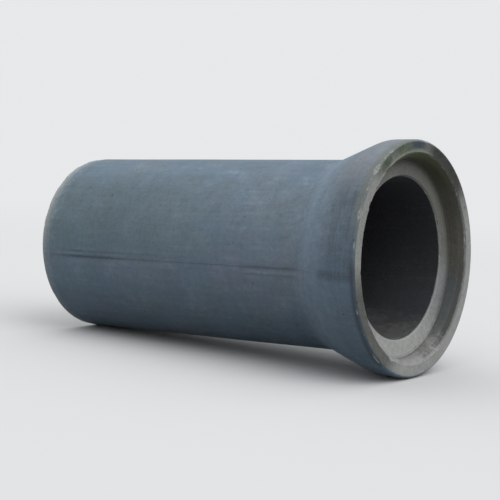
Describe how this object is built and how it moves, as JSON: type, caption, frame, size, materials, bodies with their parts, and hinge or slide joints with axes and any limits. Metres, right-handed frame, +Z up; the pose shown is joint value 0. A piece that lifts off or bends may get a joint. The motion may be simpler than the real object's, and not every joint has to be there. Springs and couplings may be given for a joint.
{
  "type": "concrete sewer pipe",
  "caption": "Round concrete sewer pipe lying on its side, with a flared bell socket at one end and a plain spigot at the other, for joining end to end underground.",
  "frame": {"origin": "on the ground under the middle of the pipe's box, as the pipe lies at rest", "axes": "+X towards the bell mouth along the ground, +Z up; the pipe's own axis climbs 2.99 degrees from +X in the XZ plane, because the bell is wider than the barrel"},
  "size_m": [2.141, 1.1598, 1.1635],
  "materials": {
    "concrete": "cast grey concrete, smooth and faintly streaked on the barrel, paler and rougher at the end faces"
  },
  "bodies": {
    "root": {"pipe": "concrete"}
  },
  "joints": []
}
